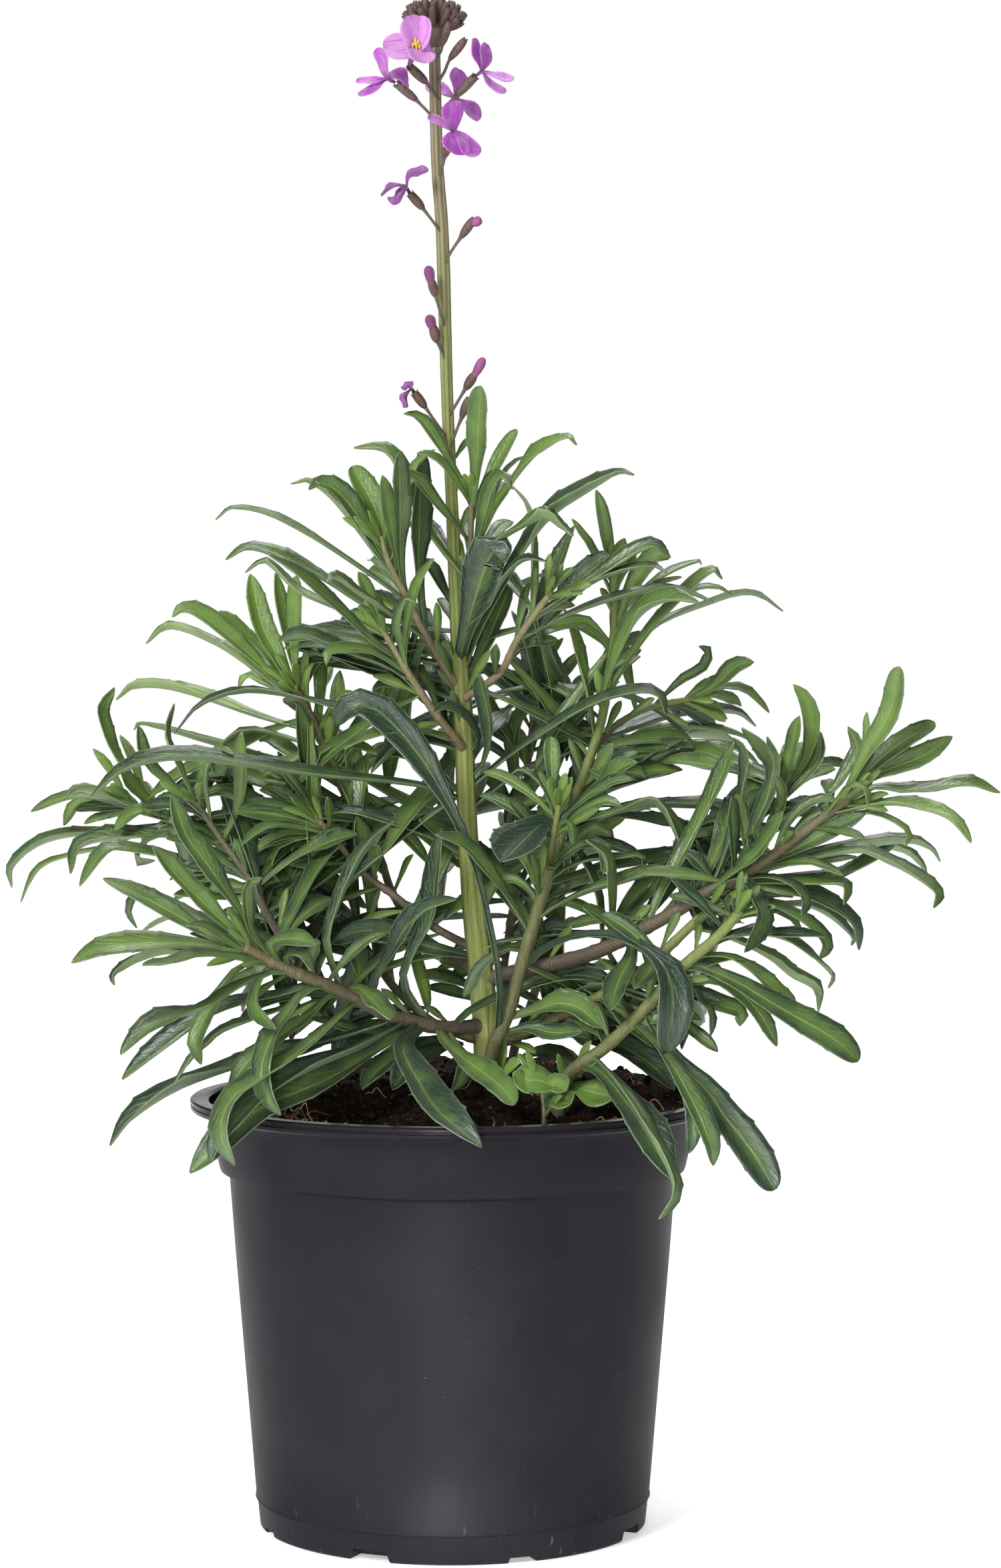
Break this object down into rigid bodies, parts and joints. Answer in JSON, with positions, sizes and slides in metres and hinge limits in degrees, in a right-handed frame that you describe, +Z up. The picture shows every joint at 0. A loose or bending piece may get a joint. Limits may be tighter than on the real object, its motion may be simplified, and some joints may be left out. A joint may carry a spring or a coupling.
{
  "type": "potted bowles mauve wallflower",
  "caption": "Perennial wallflower in a round black nursery pot: upright stem with mauve flowers and dark buds over a bush of long narrow leaves",
  "frame": {"origin": "centre of the pot's flat underside, where it stands", "axes": "+Z up along the pot's axis and the stem, -Y towards the side the plant is best seen from, +X to the right of that view"},
  "size_m": [0.3678, 0.2044, 0.5499],
  "materials": {
    "pot_plastic": "satin",
    "soil": "matte",
    "main_stem": "satin",
    "foliage": "satin",
    "calyx": "matte",
    "petals": "satin",
    "anthers": "matte",
    "weed": "satin"
  },
  "bodies": {
    "root": {"bloom_front_calyx": "calyx", "bloom_left_calyx": "calyx", "bloom_right_calyx": "calyx", "bloom_behind_calyx": "calyx", "bloom_low_calyx": "calyx", "bloom_spent_calyx": "calyx", "bloom_withered_calyx": "calyx", "bud_top_calyx": "calyx", "bud_right_calyx": "calyx", "bud_first_calyx": "calyx", "bud_second_calyx": "calyx", "bud_third_calyx": "calyx", "bud_fourth_calyx": "calyx", "bud_fifth_calyx": "calyx", "bloom_front_petals": "petals", "bloom_left_petals": "petals", "bloom_right_petals": "petals", "bloom_behind_petals": "petals", "bloom_low_petals": "petals", "bloom_spent_petals": "petals", "bloom_withered_petals": "petals", "bud_first_tip": "petals", "bud_second_tip": "petals", "bud_third_tip": "petals", "bud_fourth_tip": "petals", "flower_head": "calyx", "bloom_front_anthers": "anthers", "main_stem": "main_stem", "shoot_a": "foliage", "shoot_b": "foliage", "shoot_b_low": "foliage", "shoot_c": "foliage", "shoot_d": "foliage", "shoot_e": "foliage", "shoot_f": "foliage", "shoot_g": "foliage", "shoot_g_low": "foliage", "shoot_h": "foliage", "shoot_i": "foliage", "shoot_j": "foliage", "shoot_k": "foliage", "shoot_l": "foliage", "weed_seedling": "weed", "weed_yellow": "weed", "soil": "soil", "pot": "pot_plastic"}
  },
  "joints": []
}
